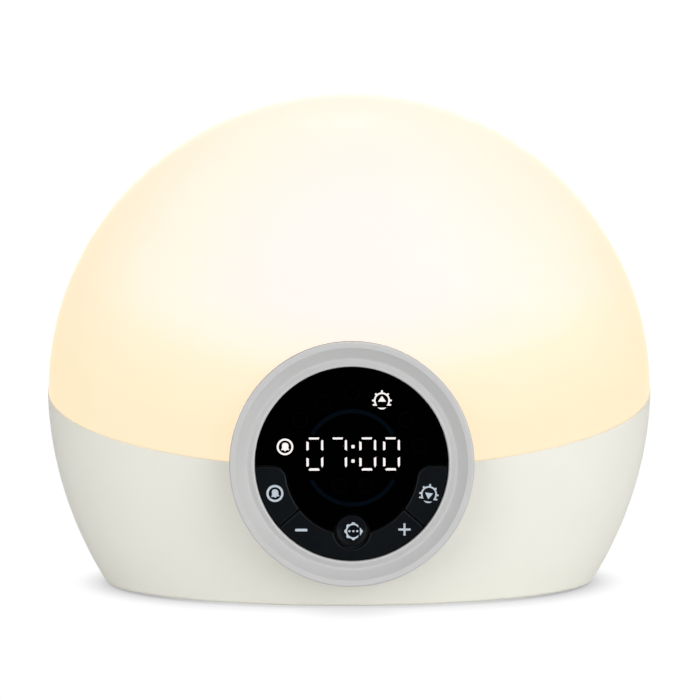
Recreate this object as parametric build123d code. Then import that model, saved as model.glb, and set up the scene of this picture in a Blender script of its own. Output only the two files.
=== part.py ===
from build123d import *
import math
import os

os.makedirs("parts", exist_ok=True)

# Sunrise alarm clock. Millimetres, +Z up, the front looks along -Y.
# The origin is on the floor, below the middle of the body.

# ---------------------------------------------------------------- driving sizes
BODY_HALF_W = 102.5      # half-width of the body at its equator
BODY_HALF_D = 51.25      # half-depth of the body at its equator
EQUATOR_Z = 66.0         # height of the widest section
BODY_TOP = 167.45        # height of the body surface over the crown
BASE_Z = 0.8             # underside of the base, held up by the feet
LOWER_B = 118.25         # lower profile: virtual height of the superellipse
LOWER_N = 1.9            # lower profile: its exponent
BOTTOM_FILLET = 1.5      # round along the base's bottom edge
WALL = 2.5               # wall of the base
DOME_STEP = 0.25         # the dome stands back from the base's edge by this

SEAM_Z0 = 67.2           # height of the seam plane above the middle
SEAM_SLOPE = 0.366       # rise of the seam plane per mm towards the back
SEAM_GAP = 0.30          # shadow gap between dome and base

CONSOLE_Y = -57.0        # middle of the console ring's rim
CONSOLE_Z = 51.5
CONSOLE_TILT = 9.0       # the console looks up by this many degrees

RING_R = 39.6            # console ring, outer radius
RING_RIM_R = 37.5        # inner edge of its flat rim
RING_BORE_R = 31.4       # its inner bore
RING_LENGTH = 24.0
SHELL_HOLE_R = 39.75     # hole in dome and base that the ring passes through

FACE_Z = -3.6            # window and key faces, behind the ring's rim
WINDOW_T = 2.0
FACE_R = 31.05           # outer radius of window and keys
ARC_CY = -1.6            # centre of the arc between window and keys
ARC_R = 21.4             # radius of the keys' inner edge
KEY_TOP_V = -0.8         # top edge of the two side keys
KEY_CORNER_R = 4.3
KEY_GAP = 0.4
DIVIDER_DEG = 41.0       # dividers between side keys and rocker, below level
KEY_T = 3.2
KEY_TRAVEL = 0.5

MENU_V = -21.7
MENU_R = 5.2
MENU_HOLE_R = 5.9
SWITCH_HALF = 2.3
ROCKER_AXIS_Z = -8.4
PIN_R = 0.6
PIN_CLEAR = 0.06

FLOOR_TOP = -7.8         # housing floor under the keys
FLOOR_T = 1.2
PCB_FRONT = -12.2        # display board
PCB_T = 1.6
TUBE_R = 33.4            # housing tube, outer radius
FLANGE_R = 48.0
FLANGE_FRONT = -24.0
FLANGE_T = 2.0

PLATE_A, PLATE_B = 78.5, 38.3    # base plate half axes
OPEN_A, OPEN_B = 69.0, 29.0      # opening in the base shell's floor
PLATE_T = 2.2
LEDGE_TOP = 4.8                  # top of the base shell's floor flange

COLUMNS = [(-74.0, 0.0), (74.0, 0.0), (-42.0, 29.0), (42.0, 29.0)]
SHORT_BOSSES = [(-45.0, -26.5), (45.0, -26.5)]
COLUMN_R = 3.2
FEET = [(-55.0, -15.0), (55.0, -15.0), (-55.0, 15.0), (55.0, 15.0)]
FOOT_R = 5.5
FOOT_H = 1.5

BOARD_Z = 12.0
BOARD_X0, BOARD_X1, BOARD_Y0, BOARD_Y1 = -36.0, 36.0, -20.0, 34.0
JACK_X, JACK_Z = 15.0, 19.2
JACK_NOSE_Y = 44.6


# ---------------------------------------------------------------- body surface
FLAT = BODY_HALF_D / BODY_HALF_W


def half_width(z):
    if z > EQUATOR_Z:
        return BODY_HALF_W * math.sqrt(max(0.0, 1.0 - ((z - EQUATOR_Z) / (BODY_TOP - EQUATOR_Z)) ** 2))
    q = (EQUATOR_Z - z) / LOWER_B
    return BODY_HALF_W * (1.0 - q ** LOWER_N) ** (1.0 / LOWER_N)


def lower_form(t, z_low):
    """The body below its equator, drawn in by t: a loft through flat ellipses."""
    levels = [z_low, 0.62 * z_low + 0.38 * EQUATOR_Z, 0.28 * z_low + 0.72 * EQUATOR_Z, EQUATOR_Z,
              0.72 * EQUATOR_Z + 0.28 * (2 * EQUATOR_Z - z_low)]
    rings = []
    for z in levels:
        w = half_width(min(z, 2 * EQUATOR_Z - z))
        rings.append(Pos(0, 0, z) * Ellipse(w - t, w * FLAT - t))
    return loft(rings) & (Pos(0, 0, z_low) * Box(400, 400, EQUATOR_Z - z_low, align=(Align.CENTER, Align.CENTER, Align.MIN)))


def upper_form(t):
    """The body above its equator, drawn in by t: half an ellipsoid."""
    ball = scale(Sphere(100.0), by=((BODY_HALF_W - t) / 100.0, (BODY_HALF_D - t) / 100.0,
                                    (BODY_TOP - t - EQUATOR_Z) / 100.0))
    return (Pos(0, 0, EQUATOR_Z) * ball) & (Pos(0, 0, EQUATOR_Z) * Box(400, 400, 300, align=(Align.CENTER, Align.CENTER, Align.MIN)))


def hollow_body():
    low = lower_form(0, BASE_Z)
    low = fillet(low.edges().sort_by(Axis.Z)[0], BOTTOM_FILLET)
    low = low - lower_form(WALL, LEDGE_TOP)
    up = upper_form(0) - upper_form(WALL)
    return low, up


def skin_between(t0, t1):
    return (lower_form(t0, 20.0) - lower_form(t1, 20.0)), (upper_form(t0) - upper_form(t1))


def above_seam(offset):
    """A large block above the seam plane, raised by offset."""
    ang = math.degrees(math.atan(SEAM_SLOPE))
    blk = Box(400, 400, 300, align=(Align.CENTER, Align.CENTER, Align.MIN))
    n = Vector(0, -math.sin(math.radians(ang)), math.cos(math.radians(ang)))
    o = Vector(0, 0, SEAM_Z0) + n * offset
    return Location((o.X, o.Y, o.Z), (ang, 0, 0)) * blk


def seam_frame(y, offset):
    ang = math.degrees(math.atan(SEAM_SLOPE))
    n = Vector(0, -math.sin(math.radians(ang)), math.cos(math.radians(ang)))
    o = Vector(0, y, SEAM_Z0 + SEAM_SLOPE * y) + n * offset
    return Location((o.X, o.Y, o.Z), (ang, 0, 0))


def post(x, y, z0, z1, r):
    return Pos(x, y, z0) * Cylinder(r, z1 - z0, align=(Align.CENTER, Align.CENTER, Align.MIN))


def ellipse_post(a, b, z0, z1):
    return Pos(0, 0, z0) * extrude(Ellipse(a, b), amount=z1 - z0)


_t = math.radians(CONSOLE_TILT)
CONSOLE = Plane(origin=(0, CONSOLE_Y, CONSOLE_Z), x_dir=(1, 0, 0),
                z_dir=(0, -math.cos(_t), math.sin(_t)))
CL = CONSOLE.location


def lpost(x, v, z0, z1, r):
    """A cylinder along the console's axis, in console coordinates."""
    return Pos(x, v, z0) * Cylinder(r, z1 - z0, align=(Align.CENTER, Align.CENTER, Align.MIN))


def lext(sk, z0, z1):
    return Pos(0, 0, z0) * extrude(sk, amount=z1 - z0)


def lbox(x0, x1, v0, v1, z0, z1):
    return Pos((x0 + x1) / 2, (v0 + v1) / 2, (z0 + z1) / 2) * Box(x1 - x0, v1 - v0, z1 - z0)


def screw(head_r, head_h, shank_r, length):
    """A pan-head screw: seat at z = 0, shank down, head up, cross recess."""
    head = Cylinder(head_r, head_h, align=(Align.CENTER, Align.CENTER, Align.MIN))
    head = fillet(head.edges().sort_by(Axis.Z)[-1], head_h * 0.4)
    shank = Pos(0, 0, -length) * Cylinder(shank_r, length, align=(Align.CENTER, Align.CENTER, Align.MIN))
    bar = Pos(0, 0, head_h) * Box(head_r * 1.1, head_r * 0.28, head_h)
    return head + shank - bar - (Rot(0, 0, 90) * bar)


parts = {}


def one(name, shape):
    parts[name] = shape
    print(name, round(shape.volume, 1), flush=True)


# ---------------------------------------------------------------- shells
low_skin, up_skin = hollow_body()
hole = CL * lpost(0, 0, -34.0, 30.0, SHELL_HOLE_R)
dome_cut = above_seam(SEAM_GAP)
dome_low, dome_up = skin_between(DOME_STEP, WALL)
one("diffuser_dome", ((dome_low & dome_cut) + (dome_up & dome_cut)) - hole)


def wall_depth(x, v):
    """Console height of the body's surface above the console point (x, v)."""
    s = -40.0
    while s < 5.0:
        p = CONSOLE.from_local_coords(Vector(x, v, s))
        if (p.X / half_width(p.Z)) ** 2 + (p.Y / (half_width(p.Z) * BODY_HALF_D / BODY_HALF_W)) ** 2 > 1.0:
            return s
        s += 0.05
    return s


CONSOLE_BOSSES = [(-44.5, -9.0), (44.5, -9.0), (-37.0, -26.0), (37.0, -26.0)]
under_tray = above_seam(-3.0)
shell = (low_skin - above_seam(0)) + (up_skin - above_seam(0))
shell = shell - [ellipse_post(OPEN_A, OPEN_B, -1.0, LEDGE_TOP + 1.0),
                 ellipse_post(PLATE_A + 0.2, PLATE_B + 0.2, -1.0, BASE_Z + PLATE_T), hole]
adds = [post(x, y, LEDGE_TOP - 1.0, 110, COLUMN_R) - under_tray for (x, y) in COLUMNS]
adds += [post(x, y, LEDGE_TOP - 1.0, 12.0, COLUMN_R) for (x, y) in SHORT_BOSSES]
for (x, v) in CONSOLE_BOSSES:
    tip = wall_depth(x, v) - 1.0
    print("console boss reaches", round(tip, 2))
    boss = Cylinder(3.0, tip - FLANGE_FRONT, align=(Align.CENTER, Align.CENTER, Align.MIN))
    boss = chamfer(boss.edges().sort_by(Axis.Z)[-1], 1.9)
    adds.append(CL * Pos(x, v, FLANGE_FRONT) * boss)
shell = shell + adds
cuts = [post(x, y, -1.0, 14.0, 1.25) for (x, y) in COLUMNS]
cuts += [seam_frame(y, -3.0) * Pos(x, 0, -9.0) * Cylinder(1.25, 20) for (x, y) in COLUMNS]
cuts += [post(x, y, -1.0, 11.0, 1.25) for (x, y) in SHORT_BOSSES]
cuts += [CL * lpost(x, v, FLANGE_FRONT - 1, FLANGE_FRONT + 4.8, 1.05) for (x, v) in CONSOLE_BOSSES]
cuts += [Pos(JACK_X, 40.0, JACK_Z) * Rot(90, 0, 0) * Cylinder(5.3, 30)]
one("base_shell", shell - cuts)

between = above_seam(-2.9) - above_seam(3.0)
lr_low, lr_up = skin_between(WALL + 0.1, WALL + 1.9)
locating = (lr_low & between) + (lr_up & between)
one("dome_locating_ring", locating - hole)

# ---------------------------------------------------------------- base plate and feet
plate = ellipse_post(PLATE_A, PLATE_B, BASE_Z, BASE_Z + PLATE_T)
STANDOFFS = [(-31.0, -15.0), (31.0, -15.0), (-31.0, 21.0), (31.0, 21.0)]
for (x, y) in STANDOFFS:
    plate = plate + post(x, y, BASE_Z + PLATE_T - 0.5, BOARD_Z, 2.8)
plate = plate + (post(-52, 2, BASE_Z + PLATE_T - 0.5, 6.5, 13.4) - post(-52, 2, BASE_Z, 8.0, 12.1))
for (x, y) in STANDOFFS:
    plate = plate - post(x, y, 5.0, BOARD_Z + 1, 1.05)
for (x, y) in FEET:
    plate = plate - post(x, y, BASE_Z - 1, FOOT_H, FOOT_R + 0.05)
for (x, y) in COLUMNS + SHORT_BOSSES:
    plate = plate - post(x, y, BASE_Z - 1, BASE_Z + 5, 1.6)
    plate = plate - post(x, y, BASE_Z - 1, BASE_Z + 1.2, 2.8)
for i in range(-3, 4):
    half = math.sqrt(9.5 ** 2 - (i * 2.6) ** 2)
    plate = plate - (Pos(-52 + i * 2.6, 2, BASE_Z) * extrude(SlotOverall(2 * half, 1.3, rotation=90), amount=6, both=True))
for i in range(-4, 5):
    plate = plate - (Pos(24 + i * 3.0, 0, BASE_Z) * extrude(SlotOverall(14, 1.3, rotation=90), amount=6, both=True))
one("base_plate", plate)

feet = []
for (x, y) in FEET:
    f = post(x, y, 0, FOOT_H, FOOT_R)
    f = fillet(f.edges().sort_by(Axis.Z)[0], 0.3)
    feet.append(f)
one("rubber_feet", Compound(feet))

# ---------------------------------------------------------------- console ring
rim = Polyline((RING_BORE_R, -5.6), (34.0, -5.6), (37.6, -2.6), (37.6, -RING_LENGTH), (RING_R, -RING_LENGTH), (RING_R, -0.7))
edge_round = RadiusArc((RING_R, -0.7), (RING_R - 0.7, 0), -0.7)
flat = Line((RING_R - 0.7, 0), (RING_RIM_R, 0))
cone = Line((RING_RIM_R, 0), (34.5, -2.5))
valley = Spline((34.5, -2.5), (33.9, -2.80), (33.3, -2.58), tangents=[(-0.768, -0.640), (-0.82, 0.57)])
flank = Line((33.3, -2.58), (32.3, -1.885))
lip = Spline((32.3, -1.885), (31.8, -1.80), (RING_BORE_R, -2.35), tangents=[(-0.82, 0.57), (0, -1)])
bore_line = Line((RING_BORE_R, -2.35), (RING_BORE_R, -5.6))
ring_face = make_face(Curve() + [rim, edge_round, flat, cone, valley, flank, lip, bore_line])
ring = revolve(Plane.XZ * ring_face, axis=Axis.Z, revolution_arc=360)
RING_BOSSES = [(90.0), (210.0), (330.0)]
annulus = lext(Circle(38.6) - Circle(33.6), -RING_LENGTH, -6.0)
for a in RING_BOSSES:
    bx, bv = 35.75 * math.cos(math.radians(a)), 35.75 * math.sin(math.radians(a))
    ring = ring + (lpost(bx, bv, -RING_LENGTH, -6.0, 2.1) & annulus)
    ring = ring - lpost(bx, bv, -RING_LENGTH - 1, -RING_LENGTH + 7.0, 0.95)
one("bezel_ring", CL * ring)

# ---------------------------------------------------------------- key outlines (console coordinates)
disc = Circle(FACE_R)
low = Pos(0, KEY_TOP_V - 40) * Rectangle(100, 80)
zone = (Circle(FACE_R + 2) - Pos(0, ARC_CY) * Circle(ARC_R)) & low


def inner_corners(face):
    out = []
    for v in face.vertices():
        r = math.hypot(v.X, v.Y - ARC_CY)
        if abs(v.Y - KEY_TOP_V) < 1e-4 and abs(r - ARC_R) < 1e-3:
            out.append(v)
    return out


zone = fillet(inner_corners(zone), KEY_CORNER_R)
menu_hole = Pos(0, MENU_V) * Circle(MENU_HOLE_R)
window_sk = disc - offset(zone, KEY_GAP, kind=Kind.ARC) - menu_hole
keys_sk = (zone & disc) - menu_hole
for s in (-1, 1):
    ang = -DIVIDER_DEG if s > 0 else 180 + DIVIDER_DEG
    keys_sk = keys_sk - (Rot(0, 0, ang) * Pos(30, 0) * Rectangle(60, KEY_GAP))
faces = sorted(keys_sk.faces(), key=lambda f: f.center().X)
print("key outlines:", [(round(f.center().X, 2), round(f.center().Y, 2), round(f.area, 1)) for f in faces])
left_f, rocker_f, right_f = faces
wfaces = sorted(window_sk.faces(), key=lambda f: f.area)
print("window outlines:", [round(f.area, 1) for f in wfaces])
window_f = wfaces[-1]

# ---------------------------------------------------------------- window
window = lext(window_f, FACE_Z - WINDOW_T, FACE_Z)
# rolled edge along the keys
top_edges = [e for e in window.edges() if abs(e.center().Z - FACE_Z) < 1e-4 and e.length > 0.5
             and (e.center().Y < 3.0) and not (abs(math.hypot(e.center().X, e.center().Y) - FACE_R) < 0.05)]
collar = lext(((Pos(0, MENU_V) * (Circle(MENU_HOLE_R + 1.05) - Circle(MENU_HOLE_R))) & window_f), FACE_Z - 0.5, FACE_Z + 0.3)
window = chamfer(top_edges, 0.35)
window = window + collar
one("display_window", CL * window)

# ---------------------------------------------------------------- keys
POSTS = {"alarm": (-26.2, -9.6), "light": (26.2, -9.6), "minus": (-17.5, -22.6), "plus": (17.5, -22.6), "menu": (0.0, MENU_V)}
POST_R = 1.2
KEY_REAR = FACE_Z - KEY_T


def key_cap(face, rounding=0.45):
    cap = lext(face, KEY_REAR, FACE_Z)
    edges = [e for e in cap.edges() if abs(e.center().Z - FACE_Z) < 1e-4 and
             max(abs(p.Z - FACE_Z) for p in [e @ 0, e @ 0.5, e @ 1]) < 1e-4]
    for r in (rounding, 0.35, 0.25):
        try:
            return fillet(edges, r)
        except Exception as err:
            print("key edge round", r, "not made:", err)
    return cap


guard = (Pos(0, ARC_CY) * Circle(ARC_R + 1.0)) - (Pos(0, ARC_CY) * Circle(ARC_R - 0.9))


def side_key(face, sign, post_xy):
    cap = key_cap(face)
    sector = Polygon((0, 0), (sign * 60, -2.5), (sign * 60, -60 * math.tan(math.radians(DIVIDER_DEG)) + 3.0), align=None)
    lip = lext(guard & sector & (Pos(0, -26.5) * Rectangle(100, 40)), KEY_REAR, KEY_REAR + 0.8)
    cap = cap + lip
    cap = cap + lpost(post_xy[0], post_xy[1], -8.5, KEY_REAR + 0.5, POST_R)
    return cap


alarm_key = side_key(left_f, -1, POSTS["alarm"])
light_key = side_key(right_f, 1, POSTS["light"])
one("alarm_key", CL * alarm_key)
one("light_key", CL * light_key)

rocker = key_cap(rocker_f)
rlip_sector = Polygon((0, 0), (-60 * math.cos(math.radians(46)), -60 * math.sin(math.radians(46))), (0, -90),
                      (60 * math.cos(math.radians(46)), -60 * math.sin(math.radians(46))), align=None)
rlip = (guard & rlip_sector) - (Pos(0, MENU_V) * Circle(8.2))
rocker = rocker + lext(rlip, KEY_REAR, KEY_REAR + 0.8)
for k in ("minus", "plus"):
    rocker = rocker + lpost(POSTS[k][0], POSTS[k][1], -8.5, KEY_REAR + 0.5, POST_R)
rocker = rocker + lbox(-1.6, 1.6, -30.2, -28.4, -9.6, KEY_REAR + 0.3)
rocker = rocker - (Pos(0, -29.3, ROCKER_AXIS_Z) * Rot(90, 0, 0) * Cylinder(PIN_R + PIN_CLEAR, 10))
one("minus_plus_rocker", CL * rocker)

pin = Pos(0, -29.3, ROCKER_AXIS_Z) * Rot(90, 0, 0) * Cylinder(PIN_R, 4.2)
one("rocker_pivot_pin", CL * pin)

# round button with a shallow dish
b_face = make_face(Curve() + [Polyline((0, FACE_Z - 0.15), (0, KEY_REAR), (MENU_R, KEY_REAR), (MENU_R, FACE_Z - 0.2)),
                              RadiusArc((MENU_R, FACE_Z - 0.2), (MENU_R - 0.5, FACE_Z + 0.3), -0.5),
                              Spline((MENU_R - 0.5, FACE_Z + 0.3), (MENU_R - 1.1, FACE_Z + 0.12), (2.2, FACE_Z - 0.1), (0, FACE_Z - 0.15),
                                     tangents=[(-1, -0.25), (-1, 0)])])
button = Pos(0, MENU_V, 0) * revolve(Plane.XZ * b_face, axis=Axis.Z, revolution_arc=360)
ear = (Pos(0, MENU_V) * (Circle(7.2) - Circle(4.0))) & (Pos(0, MENU_V + 5.6) * Rectangle(30, 8))
button = button + lext(ear, KEY_REAR, KEY_REAR + 0.8)
button = button + lpost(0, MENU_V, -8.5, KEY_REAR + 0.5, POST_R)
one("menu_button", CL * button)

# ---------------------------------------------------------------- display housing
housing = lext(Circle(TUBE_R) - Circle(RING_BORE_R), FLANGE_FRONT - FLANGE_T, FACE_Z - WINDOW_T)
housing = housing + lext(Circle(RING_BORE_R + 0.5), FLOOR_TOP - FLOOR_T, FLOOR_TOP)
inner_zone = offset(zone, KEY_GAP + 1.5, kind=Kind.ARC)
rib_path = (Circle(30.4) - inner_zone - (Pos(0, MENU_V) * Circle(8.0)))
rib_in = (Circle(28.9) - offset(zone, KEY_GAP + 2.9, kind=Kind.ARC) - (Pos(0, MENU_V) * Circle(9.2)))
rib = rib_path - rib_in
housing = housing + lext(rib, FLOOR_TOP - 0.2, FACE_Z - WINDOW_T - 0.4)
# cheeks that hold the rocker's pin
housing = housing + lbox(-2.6, 2.6, -31.9, -30.6, -10.2, -7.05)
housing = housing + lbox(-2.6, 2.6, -28.0, -26.9, -10.2, -7.05)
DIGIT = (-17.6, 17.2, -5.4, 10.6)
housing = housing - lbox(DIGIT[0] - 0.3, DIGIT[1] + 0.3, DIGIT[2] - 0.3, DIGIT[3] + 0.3, -20, -7)
housing = housing - lbox(-2.2, 2.2, -30.6, -28.0, -12, -6)
for (x, v) in POSTS.values():
    housing = housing - lpost(x, v, -12, -7, POST_R + 0.6)
flange = (Circle(FLANGE_R) - Circle(RING_BORE_R)) & (Pos(0, 20) * Rectangle(200, 120))
housing = housing + lext(flange, FLANGE_FRONT - FLANGE_T, FLANGE_FRONT)
for (x, v) in CONSOLE_BOSSES:
    housing = housing - lpost(x, v, FLANGE_FRONT - 5, FLANGE_FRONT + 5, 1.4)
for a in RING_BOSSES:
    housing = housing - lpost(35.75 * math.cos(math.radians(a)), 35.75 * math.sin(math.radians(a)), FLANGE_FRONT - 5, FLANGE_FRONT + 0.5, 1.15)
DPOSTS = [(-26.6, 10.0), (26.6, 10.0), (-9.6, -27.0), (9.6, -27.0)]
for (x, v) in DPOSTS:
    housing = housing + lpost(x, v, PCB_FRONT, FLOOR_TOP - 0.5, 2.1)
    housing = housing - lpost(x, v, PCB_FRONT - 1, PCB_FRONT + 3.2, 0.95)
# pin hole
housing = housing - (Pos(0, -29.3, ROCKER_AXIS_Z) * Rot(90, 0, 0) * Cylinder(PIN_R, 4.2))
one("display_housing", CL * housing)

gasket = lext(rib, FACE_Z - WINDOW_T - 0.4, FACE_Z - WINDOW_T)
one("window_gasket", CL * gasket)

guide_sk = (Circle(28.7) - offset(zone, KEY_GAP + 3.1, kind=Kind.ARC) - (Pos(0, MENU_V) * Circle(9.4)))
guide_sk = guide_sk - Pos((DIGIT[0] + DIGIT[1]) / 2, (DIGIT[2] + DIGIT[3]) / 2) * Rectangle(DIGIT[1] - DIGIT[0] + 0.6, DIGIT[3] - DIGIT[2] + 0.6)
for (x, v) in POSTS.values():
    guide_sk = guide_sk - Pos(x, v) * Circle(POST_R + 0.8)
guide = lext(guide_sk, FLOOR_TOP, FACE_Z - WINDOW_T - 0.5)
one("icon_light_guide", CL * guide)

digits = lbox(DIGIT[0], DIGIT[1], DIGIT[2], DIGIT[3], PCB_FRONT, FACE_Z - WINDOW_T - 0.4)
one("led_digit_module", CL * digits)

dpcb = lext(Circle(31.2), PCB_FRONT - PCB_T, PCB_FRONT)
for (x, v) in DPOSTS:
    dpcb = dpcb - lpost(x, v, -20, -8, 1.1)
dpcb = dpcb - lbox(-4, 4, -40, -30.0, -20, -5)
one("display_pcb", CL * dpcb)

sw, plungers = [], {}
for name, (x, v) in POSTS.items():
    b = lbox(-SWITCH_HALF, SWITCH_HALF, -SWITCH_HALF, SWITCH_HALF, PCB_FRONT, -9.8)
    b = Pos(x, v, 0) * Rot(0, 0, math.degrees(math.atan2(v, x))) * b
    b = b - lpost(x, v, -11.3, -9, 1.45)
    sw.append(CL * b)
    plungers[name] = CL * lpost(x, v, -10.5, -8.5, 1.1)
one("switch_bodies", Compound(sw))
one("alarm_switch_plunger", plungers["alarm"])
one("light_switch_plunger", plungers["light"])
one("menu_switch_plunger", plungers["menu"])
one("rocker_switch_plungers", Compound([plungers["minus"], plungers["plus"]]))

# screws of the console
ds = []
for (x, v) in DPOSTS:
    ds.append(CL * Pos(x, v, PCB_FRONT - PCB_T) * Rot(180, 0, 0) * screw(1.8, 1.3, 0.9, 4.4))
one("display_board_screws", Compound(ds))
rs = []
for a in RING_BOSSES:
    rs.append(CL * Pos(35.75 * math.cos(math.radians(a)), 35.75 * math.sin(math.radians(a)), FLANGE_FRONT - FLANGE_T) * Rot(180, 0, 0) * screw(1.9, 1.3, 0.9, 8.0))
one("ring_screws", Compound(rs))
cs = []
for (x, v) in CONSOLE_BOSSES:
    cs.append(CL * Pos(x, v, FLANGE_FRONT - FLANGE_T) * Rot(180, 0, 0) * screw(2.4, 1.5, 1.0, 6.5))
one("console_screws", Compound(cs))

# ---------------------------------------------------------------- reflector tray and cowl
layer = above_seam(-3.0) - above_seam(-1.0)
tray = (lower_form(WALL + 2.1, 20.0) & layer) + (upper_form(WALL + 2.1) & layer)
tray = tray - ([CL * lpost(0, 0, -31.2, 30.0, 50.4), seam_frame(6.0, -2.0) * Box(16, 7, 10)]
               + [seam_frame(y, -2.0) * Pos(x, 0, 0) * Cylinder(1.5, 10) for (x, y) in COLUMNS]
               + [seam_frame(6.0, -1.0) * Pos(x, v, 0) * Cylinder(1.05, 10)
                  for (x, v) in ((-38.0, -11.0), (38.0, -11.0), (-38.0, 11.0), (38.0, 11.0))])
one("reflector_tray", tray)

cowl = CL * (lpost(0, 0, -31.0, -17.0, 50.1) - lpost(0, 0, -29.5, 30.0, 48.6))
cowl = cowl & above_seam(-1.0)
cparts = sorted(cowl.solids(), key=lambda s: s.volume)
print("cowl solids:", [round(s.volume, 2) for s in cparts])
one("console_cowl", cparts[-1])

LEDB_W, LEDB_D = 84.0, 30.0
ledb = extrude(RectangleRounded(LEDB_W, LEDB_D, 5.0), amount=1.6)
LED_SCREWS = [(-38.0, -11.0), (38.0, -11.0), (-38.0, 11.0), (38.0, 11.0)]
for (x, v) in LED_SCREWS:
    ledb = ledb - Pos(x, v, 0) * Cylinder(1.4, 10)
LF = seam_frame(6.0, -1.0)
one("led_board", LF * ledb)
em = []
for i in range(8):
    for j in range(3):
        if j == 1 and i in (0, 7):
            continue
        em.append(LF * Pos(-31.5 + i * 9.0, -9.0 + j * 9.0, 1.6) * Box(3.5, 2.8, 0.8, align=(Align.CENTER, Align.CENTER, Align.MIN)))
one("led_emitters", Compound(em))
ls = []
for (x, v) in LED_SCREWS:
    ls.append(LF * Pos(x, v, 1.6) * screw(2.1, 1.3, 1.0, 3.5))
one("led_board_screws", Compound(ls))
ts = []
for (x, y) in COLUMNS:
    ts.append(seam_frame(y, -1.0) * Pos(x, 0, 0) * screw(2.6, 1.6, 1.15, 10.0))
one("tray_screws", Compound(ts))
bs = []
for (x, y) in COLUMNS + SHORT_BOSSES:
    bs.append(Pos(x, y, BASE_Z + 1.2) * Rot(180, 0, 0) * screw(2.6, 1.1, 1.15, 9.0))
one("base_screws", Compound(bs))

# ---------------------------------------------------------------- main board
mb = Pos(0, (BOARD_Y0 + BOARD_Y1) / 2, BOARD_Z) * extrude(RectangleRounded(BOARD_X1 - BOARD_X0, BOARD_Y1 - BOARD_Y0, 2.0), amount=1.6)
for (x, y) in STANDOFFS:
    mb = mb - post(x, y, 5, 20, 1.3)
one("main_board", mb)
ms = [Pos(x, y, BOARD_Z + 1.6) * screw(2.2, 1.4, 1.0, 6.0) for (x, y) in STANDOFFS]
one("main_board_screws", Compound(ms))
BT = BOARD_Z + 1.6
chips = [
    Pos(-8, 2, BT) * Box(10, 10, 1.4, align=(Align.CENTER, Align.CENTER, Align.MIN)),
    Pos(10, 16, BT) * Box(6, 5, 1.5, align=(Align.CENTER, Align.CENTER, Align.MIN)),
    Pos(22, 4, BT) * Box(9, 9, 4.2, align=(Align.CENTER, Align.CENTER, Align.MIN)),
    Pos(-22, 12, BT) * Box(5, 6, 1.5, align=(Align.CENTER, Align.CENTER, Align.MIN)),
    Pos(-4, 24, BT) * Box(7, 4, 2.2, align=(Align.CENTER, Align.CENTER, Align.MIN)),
]
one("board_chips", Compound(chips))
caps = []
for (x, y, r, h) in ((-22, 26, 4.0, 11.0), (-12, 27, 3.15, 9.0), (-26, 2, 3.15, 9.0)):
    c = post(x, y, BT, BT + h, r)
    c = fillet(c.edges().sort_by(Axis.Z)[-1], 0.5)
    caps.append(c)
one("capacitors", Compound(caps))

# ribbon from the display board to the main board, flat in x
conn = [
    CL * lbox(-7.5, 7.5, -14.0, -9.0, PCB_FRONT - PCB_T - 4.0, PCB_FRONT - PCB_T),
    Pos(0, -14.5, BT) * Box(15, 5, 4.0, align=(Align.CENTER, Align.CENTER, Align.MIN)),
    Pos(14.0, -12.0, BT) * Box(7.5, 5.5, 5.5, align=(Align.CENTER, Align.CENTER, Align.MIN)),
    Pos(-30.0, -6.0, BT) * Box(5.5, 7.5, 5.5, align=(Align.CENTER, Align.CENTER, Align.MIN)),
    LF * Pos(0, 0, -4.5) * Box(8.0, 5.0, 4.5, align=(Align.CENTER, Align.CENTER, Align.MIN)),
]
one("board_connectors", Compound(conn))

start = CL * Pos(0, -11.5, PCB_FRONT - PCB_T - 4.0)
p0 = start.position
n_in = Vector(0, math.cos(_t), -math.sin(_t))
p1 = p0 + n_in * 12.0
p3 = Vector(0, -14.5, BT + 4.0)
p2 = Vector(0, -14.5, BT + 16.0)
path_pts = [(p0.Y, p0.Z), (p1.Y, p1.Z), (p2.Y, p2.Z), (p3.Y, p3.Z)]
print("ribbon path:", [(round(a, 1), round(b, 1)) for a, b in path_pts])
rib_line = FilletPolyline(*path_pts, radius=4.0)
prof = Plane(origin=(path_pts[0][0], path_pts[0][1], 0), z_dir=(n_in.Y, n_in.Z, 0)) * Rectangle(0.35, 12.0)
ribbon2 = sweep(prof, path=rib_line)
ribbon = Plane(origin=(0, 0, 0), x_dir=(0, 1, 0), z_dir=(1, 0, 0)).location * ribbon2
one("display_ribbon_cable", ribbon)


def wire(points, r, bend):
    line = FilletPolyline(*points, radius=bend)
    d = (line % 0)
    prof = Plane(origin=points[0], z_dir=(d.X, d.Y, d.Z)) * Circle(r)
    return sweep(prof, path=line)


lws = []
for dx in (-1.6, 1.6):
    top = LF * Pos(dx, 0, -4.5)
    down = LF * Pos(dx, 0, -18.0)
    pts = [(14.0 + dx, -12.0, BT + 5.5), (14.0 + dx, -12.0, BT + 18.0), tuple(down.position), tuple(top.position)]
    lws.append(wire(pts, 0.75, 5.0))
one("led_wires", Compound(lws))

bz = post(-52, 2, BASE_Z + PLATE_T, 9.0, 12.0)
bz = fillet(bz.edges().sort_by(Axis.Z)[-1], 0.8)
bz = bz - post(-52, 2, 8.0, 10.0, 1.2)
one("buzzer", bz)
bws = []
for dy in (-1.5, 1.5):
    pts = [(-46.0, 2 + dy * 1.6, 9.0), (-46.0, 2 + dy * 1.6, 25.0), (-30.0, -6.0 + dy, 27.0), (-30.0, -6.0 + dy, BT + 5.5)]
    bws.append(wire(pts, 0.6, 4.5))
one("buzzer_wires", Compound(bws))

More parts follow.
